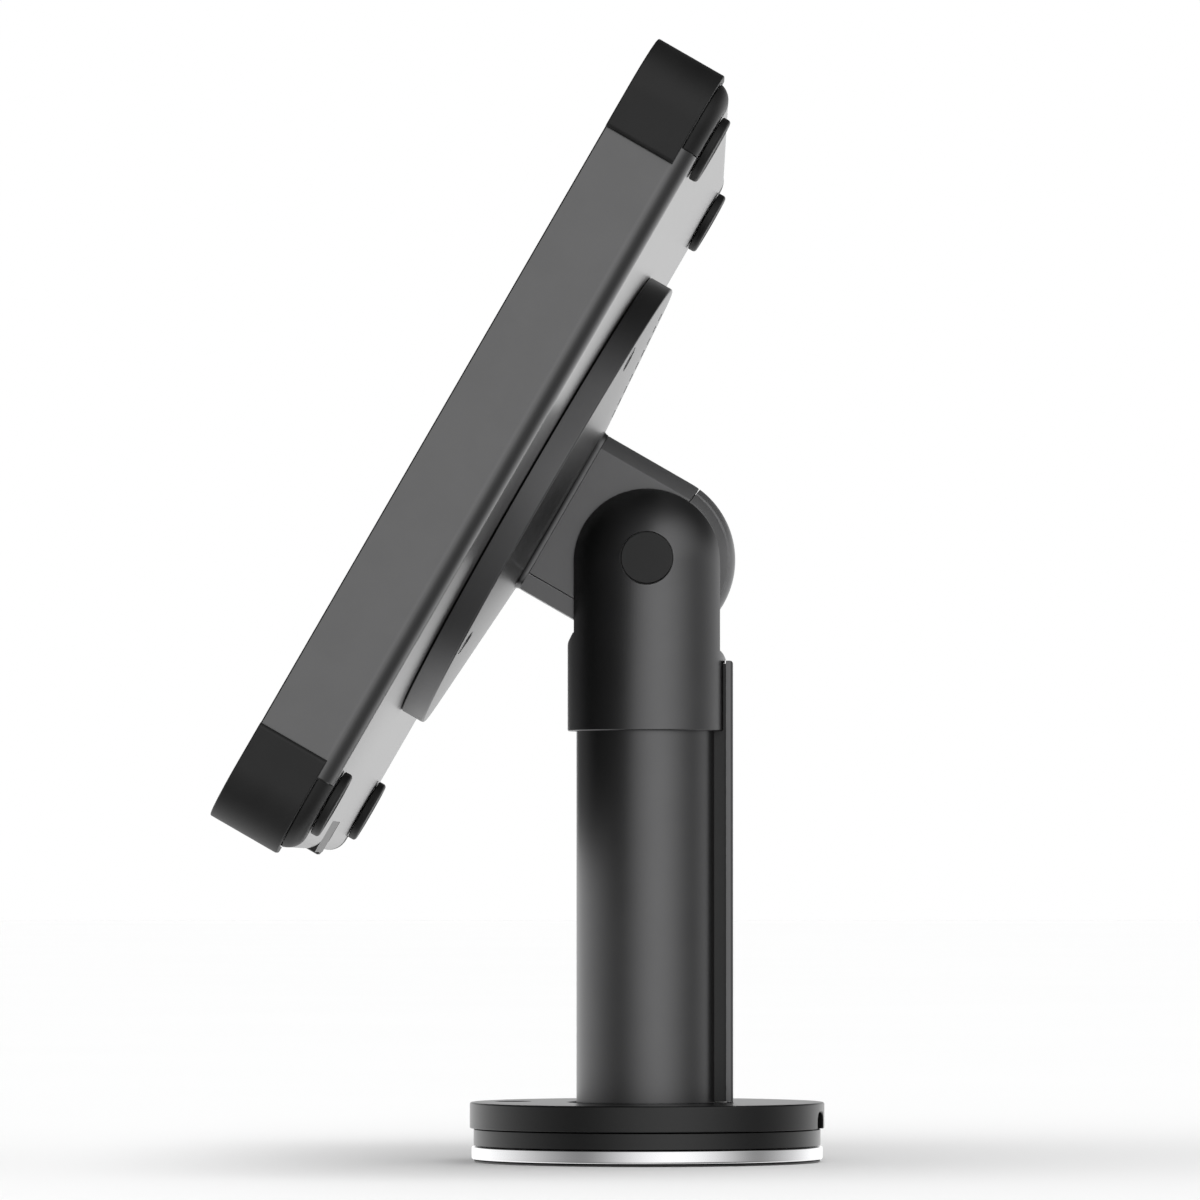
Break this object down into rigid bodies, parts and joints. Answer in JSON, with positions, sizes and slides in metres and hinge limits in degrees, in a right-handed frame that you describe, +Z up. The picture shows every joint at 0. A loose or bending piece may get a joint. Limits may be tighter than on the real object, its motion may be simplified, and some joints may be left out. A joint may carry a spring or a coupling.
{
  "type": "counter-top payment terminal",
  "caption": "Landscape touch payment terminal with corner bumpers on a tilting, swivelling pole stand with a weighted round base.",
  "frame": {"origin": "centre of the base's underside, on the pole's axis", "axes": "+Z up along the pole, -X towards the customer, +Y along the terminal's long side"},
  "size_m": [0.1823, 0.36, 0.3344],
  "materials": {
    "stand_paint": "black powder coat, fine satin",
    "black_plastic": "moulded, fine matt",
    "bumper_rubber": "soft matt",
    "casing_grey": "satin moulded dark grey",
    "bright_steel": "polished",
    "blackened_steel": "blackened",
    "nylon": "natural nylon",
    "alloy": "machined",
    "cover_glass": "black-backed polished glass",
    "copper": "lacquered winding",
    "circuit_board": "solder mask"
  },
  "bodies": {
    "base": {"counter_pad": "bumper_rubber", "base_plate": "bright_steel", "base_ring": "stand_paint", "top_cover": "stand_paint", "swivel_washer": "nylon", "hold_washer": "nylon", "cover_screw": "blackened_steel", "access_plug": "bumper_rubber", "base_screw_1": "blackened_steel", "base_screw_2": "blackened_steel", "base_screw_3": "blackened_steel", "base_screw_4": "blackened_steel"},
    "pole": {"pole_foot": "alloy", "tie_bolt": "blackened_steel", "pole_tube": "stand_paint", "cable_channel": "black_plastic", "channel_cover": "stand_paint", "fork_head": "stand_paint", "pivot_bolt": "bright_steel", "pivot_nut": "bright_steel", "pivot_cap_left": "black_plastic", "pivot_cap_right": "black_plastic"},
    "head": {"battery": "black_plastic", "camera_module": "black_plastic", "card_reader": "black_plastic", "card_slot_bezel": "black_plastic", "contactless_antenna": "copper", "corner_bumper_lower_left": "bumper_rubber", "corner_bumper_lower_right": "bumper_rubber", "corner_bumper_upper_left": "bumper_rubber", "corner_bumper_upper_right": "bumper_rubber", "corner_guard_lower_left": "bumper_rubber", "corner_guard_lower_right": "bumper_rubber", "corner_guard_upper_left": "bumper_rubber", "corner_guard_upper_right": "bumper_rubber", "disc_screw_1": "blackened_steel", "disc_screw_2": "blackened_steel", "disc_screw_3": "blackened_steel", "disc_screw_4": "blackened_steel", "display_panel": "black_plastic", "friction_washer_left": "nylon", "friction_washer_right": "nylon", "front_glass": "cover_glass", "knuckle_cover": "stand_paint", "mainboard": "circuit_board", "mid_frame": "alloy", "mount_disc": "stand_paint", "neck_screw_lower": "blackened_steel", "neck_screw_upper": "blackened_steel", "port_cover": "black_plastic", "rear_foot_lower_left": "bumper_rubber", "rear_foot_lower_right": "bumper_rubber", "rear_foot_upper_left": "bumper_rubber", "rear_foot_upper_right": "bumper_rubber", "rear_shell": "casing_grey", "speaker_left": "black_plastic", "speaker_right": "black_plastic", "tilt_knuckle": "stand_paint"},
    "power_key": {"power_button": "black_plastic"},
    "volume_key": {"volume_button": "black_plastic"}
  },
  "joints": [
    {"name": "base_swivel", "type": "hinge", "parent": "base", "child": "pole", "pos_m": [0, 0, 0], "axis": [0, 0, 1], "range_deg": [-170, 170]},
    {"name": "head_tilt", "type": "hinge", "parent": "pole", "child": "head", "pos_m": [0, 0, 0.1867], "axis": [0, 1, 0], "range_deg": [-14, 45]},
    {"name": "power_press", "type": "slide", "parent": "head", "child": "power_key", "axis": [-0.5, 0, -0.866], "range_m": [0, 0.0006], "stiffness_N_per_m": 1500, "springref_m": -0.0004},
    {"name": "volume_press", "type": "slide", "parent": "head", "child": "volume_key", "axis": [-0.5, 0, -0.866], "range_m": [0, 0.0006], "stiffness_N_per_m": 1500, "springref_m": -0.0004}
  ]
}
